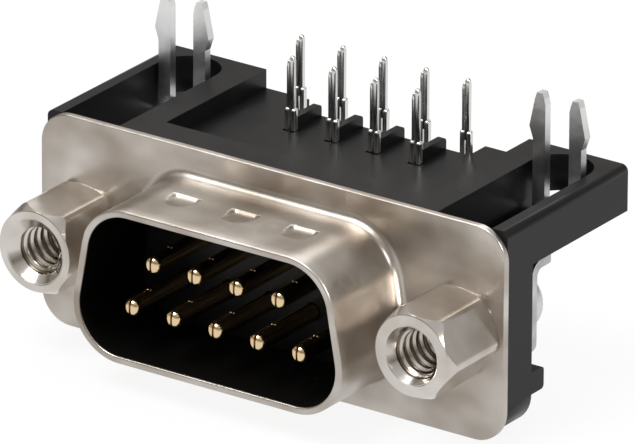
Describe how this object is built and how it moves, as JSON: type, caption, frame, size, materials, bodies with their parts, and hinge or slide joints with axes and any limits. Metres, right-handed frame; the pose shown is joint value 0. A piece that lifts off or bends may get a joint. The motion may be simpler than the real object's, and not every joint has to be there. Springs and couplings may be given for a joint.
{
  "type": "d-sub connector",
  "caption": "Right-angle D-subminiature plug for a circuit board, with round pins in a metal hood, threaded hex standoffs and forked board locks.",
  "frame": {"origin": "centre of the insulator face inside the hood, level with the front of the metal flange", "axes": "+X along the flange, -Y out of the hood towards the other half, +Z towards the circuit board side"},
  "size_m": [0.0308, 0.0181, 0.0167],
  "materials": {
    "front_shell": "satin tin plate",
    "body": "smooth moulded black",
    "standoff": "bright nickel plate",
    "sleeve": "tin plate",
    "board_lock": "dull tin plate",
    "contact": "gold plate on the pin, tin on the tail"
  },
  "bodies": {
    "root": {"front_shell": "front_shell", "body": "body", "standoff_left": "standoff", "standoff_right": "standoff", "sleeve_left": "sleeve", "sleeve_right": "sleeve", "board_lock_left": "board_lock", "board_lock_right": "board_lock", "contact_1": "contact", "contact_2": "contact", "contact_3": "contact", "contact_4": "contact", "contact_5": "contact", "contact_6": "contact", "contact_7": "contact", "contact_8": "contact", "contact_9": "contact"}
  },
  "joints": []
}
